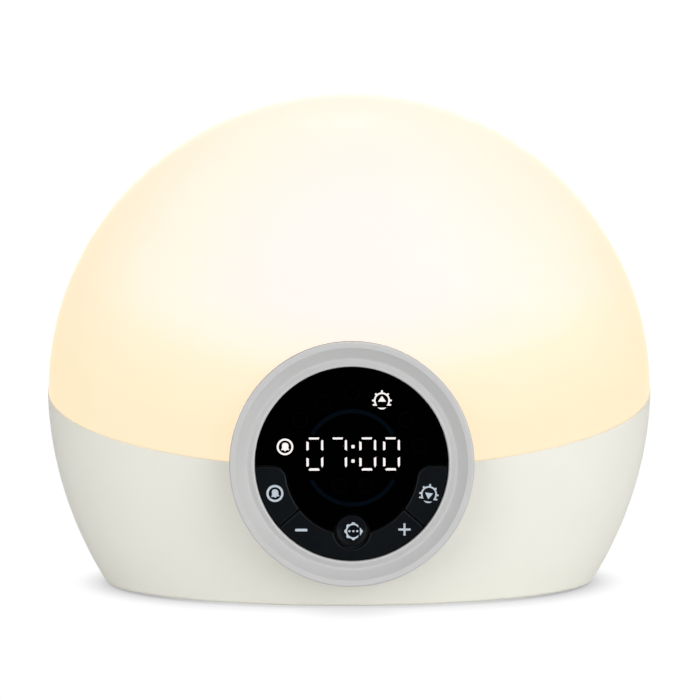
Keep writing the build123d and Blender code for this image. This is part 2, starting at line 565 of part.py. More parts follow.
# ---------------------------------------------------------------- DC inlet
jack = Pos(JACK_X, 31.0, BT) * Box(9.0, 14.0, 10.6, align=(Align.CENTER, Align.CENTER, Align.MIN))
nose = Pos(JACK_X, (30.0 + JACK_NOSE_Y) / 2, JACK_Z) * Rot(90, 0, 0) * Cylinder(4.4, JACK_NOSE_Y - 30.0)
jack = jack + nose
jack = jack - (Pos(JACK_X, JACK_NOSE_Y - 4.75 + 0.5, JACK_Z) * Rot(90, 0, 0) * Cylinder(2.85, 10.5))
one("dc_jack", jack)
jpin = Pos(JACK_X, JACK_NOSE_Y - 9.5 + 4.4, JACK_Z) * Rot(90, 0, 0) * Cylinder(1.0, 8.8)
jpin = fillet(jpin.edges().sort_by(Axis.Y)[-1], 0.5)
one("dc_jack_pin", jpin)

# ---------------------------------------------------------------- centre on the floor point and write
boxes = [shape.bounding_box() for shape in parts.values()]
low = [min(getattr(b.min, k) for b in boxes) for k in "XYZ"]
high = [max(getattr(b.max, k) for b in boxes) for k in "XYZ"]
print("box before shift", [round(c, 3) for c in low], [round(c, 3) for c in high])
SHIFT_X = -(low[0] + high[0]) / 2
SHIFT_Y = -(low[1] + high[1]) / 2
print("shift", round(SHIFT_X, 4), round(SHIFT_Y, 4))
for name, shape in parts.items():
    solids = shape.solids()
    moved = [s.moved(Location((SHIFT_X, SHIFT_Y, 0))) for s in solids]
    export_step(moved[0] if len(moved) == 1 else Compound(moved), "parts/%s.step" % name)
print(len(parts), "parts")
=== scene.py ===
import math

import bmesh
import bpy
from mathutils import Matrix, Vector
from mathutils.bvhtree import BVHTree


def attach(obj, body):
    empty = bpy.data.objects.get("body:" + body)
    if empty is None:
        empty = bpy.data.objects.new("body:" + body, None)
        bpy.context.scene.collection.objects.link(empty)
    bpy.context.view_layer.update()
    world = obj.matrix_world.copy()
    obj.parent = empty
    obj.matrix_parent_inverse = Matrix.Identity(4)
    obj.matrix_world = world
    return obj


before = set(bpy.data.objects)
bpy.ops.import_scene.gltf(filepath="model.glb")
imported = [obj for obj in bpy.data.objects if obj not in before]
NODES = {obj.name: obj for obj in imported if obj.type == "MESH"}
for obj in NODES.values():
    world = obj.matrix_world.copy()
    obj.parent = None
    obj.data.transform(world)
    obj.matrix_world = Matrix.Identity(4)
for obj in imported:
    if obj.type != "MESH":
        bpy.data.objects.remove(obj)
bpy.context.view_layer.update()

ROOT = "case_body"

# ------------------------------------------------------------------ shared frame, in millimetres
SY = 5.92196
RING_HOLE_R = 39.75
TILT = math.radians(9.0)
C_ORIGIN = Vector((0.0, -57.0 + SY, 51.5))
C_V = Vector((0.0, math.sin(TILT), math.cos(TILT)))
C_N = Vector((0.0, -math.cos(TILT), math.sin(TILT)))
FACE_Z = -3.6
MENU_V = -21.7


def con(u, v, s=0.0):
    """A console point (right, up, out of the face) as a world point in metres."""
    return (C_ORIGIN + Vector((u, 0, 0)) + C_V * v + C_N * s) * 0.001


# ------------------------------------------------------------------ camera
scene = bpy.context.scene
scene.view_settings.view_transform = "Standard"
scene.view_settings.look = "None"
scene.view_settings.exposure = 0.0
scene.view_settings.gamma = 1.0

PITCH, YAW, DIST = math.radians(8.54), math.radians(-0.8), 1.0
target = Vector((0.00017, SY * 0.001, 0.08015))
back = Vector((math.sin(YAW) * math.cos(PITCH), -math.cos(YAW) * math.cos(PITCH), math.sin(PITCH)))
cam_data = bpy.data.cameras.new("view")
cam_data.sensor_width = 36.0
cam_data.lens = 36.0 * 2941.0 / 700.0
cam_data.clip_start = 0.05
cam_data.clip_end = 60.0
cam = bpy.data.objects.new("view", cam_data)
cam.location = target + back * DIST
cam.rotation_euler = (-back).to_track_quat("-Z", "Y").to_euler()
scene.collection.objects.link(cam)
scene.camera = cam


# ------------------------------------------------------------------ node helpers
def node_mat(name):
    m = bpy.data.materials.new(name)
    m.use_nodes = True
    nt = m.node_tree
    nt.nodes.clear()
    out = nt.nodes.new("ShaderNodeOutputMaterial")
    bsdf = nt.nodes.new("ShaderNodeBsdfPrincipled")
    nt.links.new(bsdf.outputs["BSDF"], out.inputs["Surface"])
    coord = nt.nodes.new("ShaderNodeTexCoord")
    return m, nt, bsdf, coord.outputs["Object"]


def noise(nt, vec, scale, detail=3.0, rough=0.55):
    n = nt.nodes.new("ShaderNodeTexNoise")
    n.inputs["Scale"].default_value = scale
    n.inputs["Detail"].default_value = detail
    n.inputs["Roughness"].default_value = rough
    nt.links.new(vec, n.inputs["Vector"])
    return n.outputs["Fac"]


def remap(nt, fac, lo, hi, a=0.35, b=0.65):
    r = nt.nodes.new("ShaderNodeMapRange")
    r.inputs["From Min"].default_value = a
    r.inputs["From Max"].default_value = b
    r.inputs["To Min"].default_value = lo
    r.inputs["To Max"].default_value = hi
    nt.links.new(fac, r.inputs["Value"])
    return r.outputs["Result"]


def two_tone(nt, fac, c0, c1):
    r = nt.nodes.new("ShaderNodeValToRGB")
    r.color_ramp.elements[0].position = 0.3
    r.color_ramp.elements[0].color = (*c0, 1)
    r.color_ramp.elements[1].position = 0.7
    r.color_ramp.elements[1].color = (*c1, 1)
    nt.links.new(fac, r.inputs["Fac"])
    return r.outputs["Color"]


def bump(nt, bsdf, height, strength, dist):
    b = nt.nodes.new("ShaderNodeBump")
    b.inputs["Strength"].default_value = strength
    b.inputs["Distance"].default_value = dist
    nt.links.new(height, b.inputs["Height"])
    nt.links.new(b.outputs["Normal"], bsdf.inputs["Normal"])


def plastic(name, c0, c1, rough=(0.38, 0.46), tone_scale=60.0, grain=2600.0, grain_strength=0.06,
            spec=0.5, metallic=0.0, coat=0.0, grain_dist=0.00003):
    m, nt, bsdf, vec = node_mat(name)
    broad = noise(nt, vec, tone_scale, 3.0)
    fine = noise(nt, vec, grain, 2.0, 0.6)
    nt.links.new(two_tone(nt, broad, c0, c1), bsdf.inputs["Base Color"])
    nt.links.new(remap(nt, noise(nt, vec, tone_scale * 6.0, 4.0), rough[0], rough[1]), bsdf.inputs["Roughness"])
    bsdf.inputs["Specular IOR Level"].default_value = spec
    bsdf.inputs["Metallic"].default_value = metallic
    if coat:
        bsdf.inputs["Coat Weight"].default_value = coat
        bsdf.inputs["Coat Roughness"].default_value = 0.08
    if grain_strength:
        bump(nt, bsdf, fine, grain_strength, grain_dist)
    return m


# ------------------------------------------------------------------ materials
M = {}
M["case"] = plastic("case_offwhite", (0.792, 0.784, 0.712), (0.808, 0.801, 0.728), (0.40, 0.50), 45.0, 2400.0, 0.10, 0.35)
M["ring"] = plastic("ring_grey", (0.498, 0.498, 0.498), (0.515, 0.515, 0.513), (0.30, 0.38), 70.0, 3000.0, 0.05, 0.45)
M["black"] = plastic("housing_black", (0.010, 0.010, 0.011), (0.018, 0.018, 0.019), (0.45, 0.6), 120.0, 2200.0, 0.2, 0.4)
M["white"] = plastic("tray_white", (0.84, 0.84, 0.82), (0.90, 0.90, 0.885), (0.35, 0.45), 60.0, 2200.0, 0.1, 0.4)
M["rubber"] = plastic("foot_rubber", (0.030, 0.030, 0.030), (0.055, 0.055, 0.055), (0.75, 0.9), 400.0, 5000.0, 0.5, 0.25)
M["foam"] = plastic("gasket_foam", (0.012, 0.012, 0.012), (0.045, 0.045, 0.045), (0.85, 0.98), 1500.0, 4200.0, 0.9, 0.2, grain_dist=0.0002)
M["key"] = plastic("key_black", (0.0040, 0.0052, 0.0066), (0.0045, 0.0058, 0.0073), (0.17, 0.20), 60.0, 3800.0, 0.04, 0.12)
M["board"] = plastic("board_green", (0.008, 0.085, 0.030), (0.014, 0.125, 0.046), (0.25, 0.4), 500.0, 1800.0, 0.15, 0.5)
M["ledboard"] = plastic("led_board_white", (0.78, 0.78, 0.76), (0.86, 0.86, 0.84), (0.3, 0.4), 300.0, 2400.0, 0.08, 0.5)
M["chip"] = plastic("chip_black", (0.014, 0.014, 0.015), (0.024, 0.024, 0.025), (0.5, 0.62), 600.0, 4000.0, 0.2, 0.4)
M["conn"] = plastic("connector_cream", (0.70, 0.66, 0.55), (0.76, 0.73, 0.62), (0.4, 0.5), 300.0, 3000.0, 0.1, 0.4)
M["cap"] = plastic("capacitor_sleeve", (0.016, 0.020, 0.045), (0.026, 0.032, 0.066), (0.22, 0.32), 300.0, 2000.0, 0.08, 0.5)
M["ribbon"] = plastic("ribbon_grey", (0.55, 0.55, 0.54), (0.66, 0.66, 0.65), (0.4, 0.5), 900.0, 3000.0, 0.1, 0.4)
M["wire"] = plastic("wire_red", (0.30, 0.015, 0.012), (0.42, 0.030, 0.022), (0.35, 0.45), 800.0, 3000.0, 0.1, 0.45)
M["steel"] = plastic("screw_steel", (0.46, 0.46, 0.47), (0.62, 0.62, 0.63), (0.22, 0.38), 1200.0, 5200.0, 0.2, 0.5, metallic=1.0)
M["brass"] = plastic("contact_brass", (0.62, 0.45, 0.17), (0.74, 0.56, 0.24), (0.18, 0.3), 1200.0, 5200.0, 0.1, 0.5, metallic=1.0)
M["guide"] = plastic("guide_frost", (0.66, 0.66, 0.64), (0.76, 0.76, 0.74), (0.5, 0.6), 300.0, 2600.0, 0.15, 0.4)
M["phosphor"] = plastic("emitter_phosphor", (0.82, 0.66, 0.16), (0.92, 0.78, 0.28), (0.35, 0.5), 900.0, 4000.0, 0.1, 0.4)


def window_material():
    """Black gloss, the same all over."""
    m, nt, bsdf, vec = node_mat("window_black")
    nt.links.new(two_tone(nt, noise(nt, vec, 25.0, 2.0), (0.00010, 0.00012, 0.00016), (0.00020, 0.00024, 0.00030)), bsdf.inputs["Base Color"])
    nt.links.new(remap(nt, noise(nt, vec, 180.0, 4.0), 0.030, 0.050), bsdf.inputs["Roughness"])
    bsdf.inputs["Specular IOR Level"].default_value = 0.06
    bump(nt, bsdf, noise(nt, vec, 300.0, 2.0), 0.02, 0.00002)
    return m


M["window"] = window_material()


def glow(name, c0, c1, strength, base=0.02, spec=0.04, rough=(0.35, 0.45)):
    """Lit digits and icons, and the painted glow of unlit symbols: an even glow that is a little hotter in its middle
    grain.
    """
    m, nt, bsdf, vec = node_mat(name)
    col = two_tone(nt, noise(nt, vec, 700.0, 2.0), c0, c1)
    bsdf.inputs["Base Color"].default_value = (base, base, base, 1)
    nt.links.new(col, bsdf.inputs["Emission Color"])
    bsdf.inputs["Emission Strength"].default_value = strength
    nt.links.new(remap(nt, noise(nt, vec, 180.0, 4.0), rough[0], rough[1]), bsdf.inputs["Roughness"])
    bsdf.inputs["Specular IOR Level"].default_value = spec
    return m


M["digit"] = glow("digit_lit", (1.0, 0.935, 0.915), (1.0, 0.965, 0.95), 0.98)
# painted glow: the unlit ring and symbols get a faint bluish glow, though they are not lit
M["ghost"] = glow("unlit_symbols_painted_glow", (0.0012, 0.0030, 0.0058), (0.0017, 0.0038, 0.0070), 0.90, 0.0002, 0.06, (0.030, 0.050))
M["ghost_icon"] = glow("unlit_icons_painted_glow", (0.0008, 0.0011, 0.0018), (0.0011, 0.0015, 0.0022), 0.75, 0.0002, 0.06, (0.030, 0.050))
M["print"] = plastic("icon_print", (0.42, 0.475, 0.54), (0.475, 0.535, 0.60), (0.5, 0.6), 900.0, 5000.0, 0.1, 0.25)


M["button"] = plastic("button_black", (0.0030, 0.0038, 0.0052), (0.0034, 0.0043, 0.0058), (0.12, 0.16), 60.0, 3800.0, 0.04, 0.05)


def dome_material():
    """Milky plastic lit from inside: whitest in front of the lamps, warmer towards the edge and the seam."""
    m, nt, bsdf, vec = node_mat("dome_lit")
    N = nt.nodes
    sep = N.new("ShaderNodeSeparateXYZ")
    nt.links.new(vec, sep.inputs[0])

    def math_node(op, a, b=None, clamp=False):
        n = N.new("ShaderNodeMath")
        n.operation = op
        n.use_clamp = clamp
        for i, v in enumerate((a, b)):
            if v is None:
                continue
            if isinstance(v, (int, float)):
                n.inputs[i].default_value = v
            else:
                nt.links.new(v, n.inputs[i])
        return n.outputs[0]

    X, Z = sep.outputs["X"], sep.outputs["Z"]
    dx = math_node("ABSOLUTE", math_node("DIVIDE", math_node("SUBTRACT", X, 0.0033), 0.0917))
    rise = math_node("SUBTRACT", Z, 0.1072)
    above = math_node("DIVIDE", math_node("MAXIMUM", rise, 0.0), 0.0893)
    below = math_node("DIVIDE", math_node("MAXIMUM", math_node("MULTIPLY", rise, -1.0), 0.0), 0.0309)
    dz = math_node("ADD", above, below)
    q = math_node("POWER", math_node("ADD", math_node("POWER", dx, 1.78), math_node("POWER", dz, 1.78)), 1.0 / 1.78)
    q = math_node("ADD", q, remap(nt, noise(nt, vec, 11.0, 2.0), -0.012, 0.012))
    ramp = N.new("ShaderNodeValToRGB")
    el = ramp.color_ramp.elements
    el[0].position, el[0].color = 0.0, (0.90, 0.764, 0.722, 1)
    el[1].position, el[1].color = 1.0, (0.90, 0.693, 0.447, 1)
    for at, g, bl in ((0.3, 0.763, 0.719), (0.5, 0.762, 0.677), (0.7, 0.764, 0.629), (0.85, 0.750, 0.572),
                      (1.0, 0.730, 0.508), (1.2, 0.716, 0.478), (1.45, 0.706, 0.456)):
        e = el.new(at / 1.6)
        e.color = (0.90, g, bl, 1)
    nt.links.new(math_node("DIVIDE", q, 1.6), ramp.inputs["Fac"])
    # painted light: the wall of the console's hole is given a whiter glow, as bright as the face round it, which hides
    # the shade in the gap round the ring
    off = N.new("ShaderNodeVectorMath")
    off.operation = "SUBTRACT"
    nt.links.new(vec, off.inputs[0])
    off.inputs[1].default_value = con(0, 0)
    axis = N.new("ShaderNodeVectorMath")
    axis.operation = "CROSS_PRODUCT"
    nt.links.new(off.outputs["Vector"], axis.inputs[0])
    axis.inputs[1].default_value = C_N
    dist = N.new("ShaderNodeVectorMath")
    dist.operation = "LENGTH"
    nt.links.new(axis.outputs["Vector"], dist.inputs[0])
    wall = math_node("LESS_THAN", dist.outputs["Value"], (RING_HOLE_R + 0.08) * 0.001)
    hot = N.new("ShaderNodeMix")
    hot.data_type = "RGBA"
    nt.links.new(wall, hot.inputs["Factor"])
    nt.links.new(ramp.outputs["Color"], hot.inputs[6])
    hot.inputs[7].default_value = (1.0, 0.90, 0.80, 1)
    nt.links.new(hot.outputs[2], bsdf.inputs["Emission Color"])
    bsdf.inputs["Emission Strength"].default_value = 1.0
    nt.links.new(two_tone(nt, noise(nt, vec, 40.0, 2.0), (0.155, 0.150, 0.135), (0.170, 0.165, 0.150)), bsdf.inputs["Base Color"])
    nt.links.new(remap(nt, noise(nt, vec, 220.0, 3.0), 0.42, 0.52), bsdf.inputs["Roughness"])
    bsdf.inputs["Specular IOR Level"].default_value = 0.25
    bump(nt, bsdf, noise(nt, vec, 2600.0, 2.0), 0.05, 0.00003)
    return m


M["dome"] = dome_material()

SLOT = {
    "diffuser_dome": "dome", "base_shell": "case", "base_plate": "case", "rubber_feet": "rubber",
    "bezel_ring": "ring", "display_window": "window", "window_gasket": "foam", "display_housing": "black",
    "icon_light_guide": "guide", "led_digit_module": "chip", "display_pcb": "board", "switch_bodies": "chip",
    "alarm_key": "key", "light_key": "key", "menu_button": "button", "minus_plus_rocker": "key",
    "alarm_switch_plunger": "chip", "light_switch_plunger": "chip", "menu_switch_plunger": "chip",
    "rocker_switch_plungers": "chip", "rocker_pivot_pin": "steel", "display_board_screws": "steel",
    "ring_screws": "steel", "console_screws": "steel", "reflector_tray": "white", "console_cowl": "white",
    "led_board": "ledboard", "led_emitters": "phosphor", "led_board_screws": "steel", "tray_screws": "steel",
    "base_screws": "steel", "main_board": "board", "main_board_screws": "steel", "board_chips": "chip",
    "capacitors": "cap", "board_connectors": "conn", "display_ribbon_cable": "ribbon", "led_wires": "wire",
    "buzzer": "chip", "buzzer_wires": "wire", "dc_jack": "black", "dc_jack_pin": "brass", "dome_locating_ring": "white",
}
for n, o in NODES.items():
    o.data.materials.clear()
    o.data.materials.append(M[SLOT[n]])


# ------------------------------------------------------------------ flat art on the console
def add_piece(name, bm, material, body, smooth=False):
    me = bpy.data.meshes.new(name)
    bm.to_mesh(me)
    bm.free()
    if smooth:
        for p in me.polygons:
            p.use_smooth = True
    me.materials.append(material)
    ob = bpy.data.objects.new(name, me)
    scene.collection.objects.link(ob)
    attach(ob, body)
    return ob


def prism(bm, outline, s0, s1, holes=()):
    """A flat raised shape on the console from (u, v) outlines in millimetres."""
    tmp = bmesh.new()
    loops = [outline] + list(holes)
    edges = []
    for lp in loops:
        vs = [tmp.verts.new((p[0], p[1], 0.0)) for p in lp]
        for i in range(len(vs)):
            edges.append(tmp.edges.new((vs[i], vs[(i + 1) % len(vs)])))
    bmesh.ops.triangle_fill(tmp, use_beauty=True, use_dissolve=False, edges=edges)
    bmesh.ops.recalc_face_normals(tmp, faces=tmp.faces)
    if tmp.faces and sum(f.normal.z * f.calc_area() for f in tmp.faces) < 0:
        bmesh.ops.reverse_faces(tmp, faces=tmp.faces)
    base = [(v.co.x, v.co.y) for v in tmp.verts]
    index = {v: i for i, v in enumerate(tmp.verts)}
    top = [bm.verts.new(con(x, y, s1)) for x, y in base]
    low = [bm.verts.new(con(x, y, s0)) for x, y in base]
    for f in tmp.faces:
        ids = [index[v] for v in f.verts]
        bm.faces.new([top[i] for i in ids])
        bm.faces.new([low[i] for i in reversed(ids)])
    for e in tmp.edges:
        if len(e.link_faces) == 1:
            lp = [l for l in e.link_faces[0].loops if l.edge == e][0]
            a, b = index[lp.vert], index[lp.link_loop_next.vert]
            bm.faces.new([top[b], top[a], low[a], low[b]])
    tmp.free()


def arc(cx, cy, r, a0, a1, n=24):
    return [(cx + r * math.cos(math.radians(a0 + (a1 - a0) * i / n)), cy + r * math.sin(math.radians(a0 + (a1 - a0) * i / n)))
            for i in range(n + 1)]


def circle(cx, cy, r, n=40):
    return arc(cx, cy, r, 0, 360.0 * (n - 1) / n, n - 1)


def arc_band(cx, cy, r0, r1, a0, a1, n=24):
    return arc(cx, cy, r1, a0, a1, n) + list(reversed(arc(cx, cy, r0, a0, a1, n)))


def turned(pts, cx, cy, deg):
    c, s = math.cos(math.radians(deg)), math.sin(math.radians(deg))
    return [(cx + (x - cx) * c - (y - cy) * s, cy + (x - cx) * s + (y - cy) * c) for x, y in pts]


def rounded_bar(x0, x1, y0, y1, r, n=5):
    return (arc(x1 - r, y1 - r, r, 0, 90, n) + arc(x0 + r, y1 - r, r, 90, 180, n) +
            arc(x0 + r, y0 + r, r, 180, 270, n) + arc(x1 - r, y0 + r, r, 270, 360, n))


ART0, ART1 = FACE_Z - 0.01, FACE_Z + 0.03


def inset(pts, d):
    """Convex outline drawn in by d on every side."""
    if sum(pts[i - 1][0] * pts[i][1] - pts[i][0] * pts[i - 1][1] for i in range(len(pts))) < 0:
        pts = pts[::-1]
    lines = []
    for i in range(len(pts)):
        (x0, y0), (x1, y1) = pts[i], pts[(i + 1) % len(pts)]
        L = math.hypot(x1 - x0, y1 - y0)
        nx, ny = -(y1 - y0) / L, (x1 - x0) / L
        lines.append((nx, ny, nx * x0 + ny * y0 + d))
    out = []
    for i in range(len(lines)):
        a, b, c = lines[i - 1]
        e, f, g = lines[i]
        det = a * f - b * e
        out.append(((c * f - b * g) / det, (a * g - c * e) / det))
    return out


# ------------------------------------------------------------------ symbols, drawn about their own centre in millimetres
BELL = [(-1.36, -0.80), (-1.15, -1.17), (-0.75, -1.03), (-0.45, -1.10), (-0.22, -1.36), (0.02, -1.52), (0.27, -1.36), (0.50, -1.10),
        (0.80, -1.05), (1.20, -1.15), (1.45, -0.80), (1.20, -0.60), (1.15, -0.50), (1.22, 0.40), (1.10, 0.90), (0.75, 1.25),
        (0.38, 1.39), (0.0, 1.42), (-0.36, 1.39), (-0.70, 1.25), (-0.98, 0.85), (-1.03, 0.40), (-1.0, -0.45), (-1.15, -0.62)]


def bell_icon(name, cx, cy, r0, r1, material, body, turn=0.0, shrink=0.94):
    bm = bmesh.new()
    prism(bm, circle(cx, cy, r1, 56), ART0, ART1, [circle(cx, cy, r0, 56)])
    prism(bm, turned([(cx + x * shrink, cy + y * shrink) for x, y in BELL], cx, cy, turn), ART0, ART1)
    return add_piece(name, bm, material, body)


def sun_icon(name, cx, cy, up, material, body, turn=0.0, w=0.27):
    """Sun over a horizon with a triangle inside that points up or down."""
    bm = bmesh.new()

    def P(pts):
        return turned([(cx + x, cy + y) for x, y in pts], cx, cy, turn)

    gear = []
    rays = ((0, 3.18), (46, 3.10), (90, 3.28), (134, 3.10), (180, 3.18))
    R_OUT = 2.60
    step = [(-31.0, R_OUT)]
    for ang, reach in rays:
        half0, half1 = math.degrees(math.asin(w * 1.25 / R_OUT)), math.degrees(math.asin(w / reach))
        step += [(ang - half0, R_OUT), (ang - half1, reach), (ang + half1, reach), (ang + half0, R_OUT)]
    step.append((211.0, R_OUT))
    for (a0, r0), (a1, r1) in zip(step, step[1:]):
        n = max(1, int((a1 - a0) / 4.0)) if r0 == r1 else 1
        for i in range(n):
            t = i / n
            a_, r_ = a0 + (a1 - a0) * t, r0 + (r1 - r0) * t
            gear.append((r_ * math.cos(math.radians(a_)), r_ * math.sin(math.radians(a_))))
    gear.append((R_OUT * math.cos(math.radians(211.0)), R_OUT * math.sin(math.radians(211.0))))
    gear += arc(0, 0, 2.08, 211.0, -31.0, 60)
    prism(bm, P(gear), ART0, ART1)
    for sgn in (-1, 1):
        bar = [(1.50 * sgn, -1.68), (2.96 * sgn, -1.68), (2.96 * sgn, -1.15), (2.3 * sgn, -1.15), (1.86 * sgn, -1.15)]
        prism(bm, P(bar), ART0 - 0.001, ART1 - 0.001)
    smile = [(-1.42, -2.22), (-0.8, -2.33), (0.0, -2.37), (0.8, -2.33), (1.42, -2.22), (1.05, -2.58), (0.6, -2.82), (0.0, -2.90), (-0.6, -2.82), (-1.05, -2.58)]
    prism(bm, P(smile), ART0, ART1)
    tri = [(-1.30, -0.38), (1.30, -0.38), (0.10, 1.38), (-0.10, 1.38)] if up else [(-1.30, 0.40), (-0.10, -1.54), (0.10, -1.54), (1.30, 0.40)]
    prism(bm, P(tri), ART0, ART1)
    return add_piece(name, bm, material, body)


# one seven-segment digit: x from its left edge, y down from its top
SEG = {
    "a": [(0.74, 0.45), (1.06, 0.02), (4.61, 0.02), (4.28, 0.94), (1.19, 0.94)],
    "b": [(5.27, 0.69), (5.80, 1.11), (5.82, 4.35), (5.60, 4.56), (4.80, 4.15), (4.85, 1.24)],
    "c": [(5.69, 6.31), (5.82, 6.45), (5.82, 9.28), (5.27, 10.2), (4.85, 9.28), (4.80, 6.81)],
    "d": [(0.69, 10.4), (1.49, 9.98), (4.28, 9.98), (4.65, 10.77), (4.40, 11.02), (1.06, 11.02)],
    "e": [(0.08, 6.49), (1.10, 6.88), (1.12, 9.28), (0.82, 9.66), (0.08, 9.66)],
    "f": [(0.08, 1.22), (1.09, 1.61), (1.12, 4.08), (0.75, 4.42), (0.08, 4.46)],
}


def digit(name, x, y_top, segs):
    bm = bmesh.new()
    for k in segs:
        prism(bm, inset([(x + px, y_top - py) for px, py in SEG[k]], 0.14), ART0, ART1)
    return add_piece(name, bm, M["digit"], ROOT)


digit("digit_hours_tens", -14.89, 8.70, "abcdef")
digit("digit_hours_units", -7.21, 8.70, "abc")
digit("digit_minutes_tens", 2.22, 8.70, "abcdef")
digit("digit_minutes_units", 9.92, 8.70, "abcdef")
bm = bmesh.new()
for cy in (5.56, 0.90):
    prism(bm, rounded_bar(0.41 - 0.53, 0.41 + 0.53, cy - 0.53, cy + 0.53, 0.24), ART0, ART1)
add_piece("digit_colon", bm, M["digit"], ROOT)

bell_icon("alarm_on_icon", -21.59, 5.53, 2.06, 2.68, M["digit"], ROOT)
sun_icon("sunrise_on_icon", 9.81, 20.47, True, M["digit"], ROOT)
bell_icon("alarm_key_icon", -24.88, -9.52, 2.04, 2.76, M["print"], "alarm_key_body", 5.0)
sun_icon("light_key_icon", 24.94, -9.87, False, M["print"], "light_key_body", -8.0)

bm = bmesh.new()
prism(bm, rounded_bar(-18.35, -14.42, -21.80, -20.96, 0.28), ART0, ART1)
add_piece("minus_icon", bm, M["print"], "rocker_body")
bm = bmesh.new()
px_, py_, h, w_ = 17.01, -21.29, 1.98, 0.33
plus = [(px_ - w_, py_ - h), (px_ + w_, py_ - h), (px_ + w_, py_ - w_), (px_ + h, py_ - w_), (px_ + h, py_ + w_), (px_ + w_, py_ + w_),
        (px_ + w_, py_ + h), (px_ - w_, py_ + h), (px_ - w_, py_ + w_), (px_ - h, py_ + w_), (px_ - h, py_ - w_), (px_ - w_, py_ - w_)]
prism(bm, plus, ART0, ART1)
add_piece("plus_icon", bm, M["print"], "rocker_body")

# menu symbol on the round button: a cogged ring open on the right, three dots and an arrowhead
mx, my = 0.457, -21.79
cap_mesh = NODES["menu_button"].data
cap_at = NODES["menu_button"].matrix_world
cap = BVHTree.FromPolygons([cap_at @ v.co for v in cap_mesh.vertices], [tuple(p_.vertices) for p_ in cap_mesh.polygons])


def lie_on_cap(bm, low, high):
    """Drop a flat symbol drawn at FACE_Z onto the dished button face."""
    for v in bm.verts:
        upper = (v.co - con(0, 0, FACE_Z)).dot(C_N) > 0
        base = v.co - C_N * (v.co - con(0, 0, 0)).dot(C_N)
        hit = cap.ray_cast(base + C_N * 0.010, -C_N)[0]
        if hit is not None:
            v.co = hit + C_N * ((high if upper else low) * 0.001)


bm = bmesh.new()
cog = []
a = 40.0
while a <= 320.0:
    near = min(abs(a - c) for c in (90, 135, 180, 225, 270))
    r_ = 2.90 if near <= 7.0 else (2.50 if near >= 14.0 else 2.90 - 0.40 * (near - 7.0) / 7.0)
    cog.append((r_ * math.cos(math.radians(a)), r_ * math.sin(math.radians(a))))
    a += 2.5
cut = 1.62
cog = [p_ for p_ in cog if p_[0] <= cut]
up_a = math.degrees(math.acos(cut / 2.50))
in_a = math.degrees(math.acos(cut / 2.0))
ringout = [(cut, 2.50 * math.sin(math.radians(up_a)))] + cog + [(cut, -2.50 * math.sin(math.radians(up_a)))]
ringin = arc(0, 0, 2.0, 360.0 - in_a, in_a, 48)
prism(bm, [(mx + x, my + y) for x, y in ringout + ringin], FACE_Z - 0.01, FACE_Z + 0.03)
prism(bm, [(mx + 2.12, my - 1.42), (mx + 2.24, my - 1.38), (mx + 3.10, my - 0.12), (mx + 3.10, my + 0.06), (mx + 2.12, my + 1.20)], FACE_Z - 0.01, FACE_Z + 0.03)
for dx in (-1.264, 0.0, 1.264):
    prism(bm, circle(mx + dx, my, 0.35, 20), FACE_Z - 0.01, FACE_Z + 0.03)
lie_on_cap(bm, -0.02, 0.045)
add_piece("menu_icon", bm, M["print"], "menu_button_body")

# faint ring and unlit symbols under the window's film, shown by a painted glow
bm = bmesh.new()
for a0, a1 in ((30, 150), (208, 332)):
    prism(bm, arc_band(0.24, 1.92, 14.42, 15.75, a0, a1, 48), FACE_Z - 0.01, FACE_Z + 0.012)
add_piece("display_ring_unlit", bm, M["ghost"], ROOT)
bm = bmesh.new()
for cx, cy, r in ((0.28, 22.91, 2.5), (-9.27, 19.7, 2.5), (-16.72, 14.22, 2.5), (17.48, 14.26, 2.5), (21.96, 5.71, 2.5), (-3.89, -7.0, 2.5), (4.59, -7.02, 2.5)):
    prism(bm, circle(cx, cy, r), FACE_Z - 0.01, FACE_Z + 0.010, [circle(cx, cy, r - 0.42)])
add_piece("unlit_icon_rings", bm, M["ghost_icon"], ROOT)

# ------------------------------------------------------------------ floor and light
bm = bmesh.new()
bmesh.ops.create_grid(bm, x_segments=1, y_segments=1, size=12.0)
me = bpy.data.meshes.new("floor")
bm.to_mesh(me)
bm.free()
floor = bpy.data.objects.new("floor", me)
scene.collection.objects.link(floor)
fm = bpy.data.materials.new("floor_white")
fm.use_nodes = True
fnt = fm.node_tree
fnt.nodes.clear()
f_out = fnt.nodes.new("ShaderNodeOutputMaterial")
f_mix = fnt.nodes.new("ShaderNodeMixShader")
f_path = fnt.nodes.new("ShaderNodeLightPath")
f_diff = fnt.nodes.new("ShaderNodeBsdfDiffuse")
f_diff.inputs["Color"].default_value = (0.70, 0.70, 0.70, 1)
f_lift = fnt.nodes.new("ShaderNodeEmission")
f_lift.inputs["Strength"].default_value = 0.11
f_both = fnt.nodes.new("ShaderNodeAddShader")
fnt.links.new(f_diff.outputs[0], f_both.inputs[0])
fnt.links.new(f_lift.outputs[0], f_both.inputs[1])
f_glow = fnt.nodes.new("ShaderNodeEmission")
f_glow.inputs["Strength"].default_value = 1.02
f_ao = fnt.nodes.new("ShaderNodeAmbientOcclusion")
f_ao.samples = 16
f_ao.inputs["Distance"].default_value = 0.0135
f_ramp = fnt.nodes.new("ShaderNodeValToRGB")
f_el = f_ramp.color_ramp.elements
f_el[0].position, f_el[0].color = 0.05, (0.26, 0.26, 0.26, 1)
f_el[1].position, f_el[1].color = 0.90, (1.0, 1.0, 1.0, 1)
for at, c in ((0.30, 0.50), (0.50, 0.76), (0.72, 0.94)):
    e = f_el.new(at)
    e.color = (c, c, c, 1)
fnt.links.new(f_ao.outputs["AO"], f_ramp.inputs["Fac"])


def fmath(op, a, b):
    n = fnt.nodes.new("ShaderNodeMath")
    n.operation = op
    for i, v in enumerate((a, b)):
        if isinstance(v, (int, float)):
            n.inputs[i].default_value = v
        else:
            fnt.links.new(v, n.inputs[i])
    return n.outputs[0]


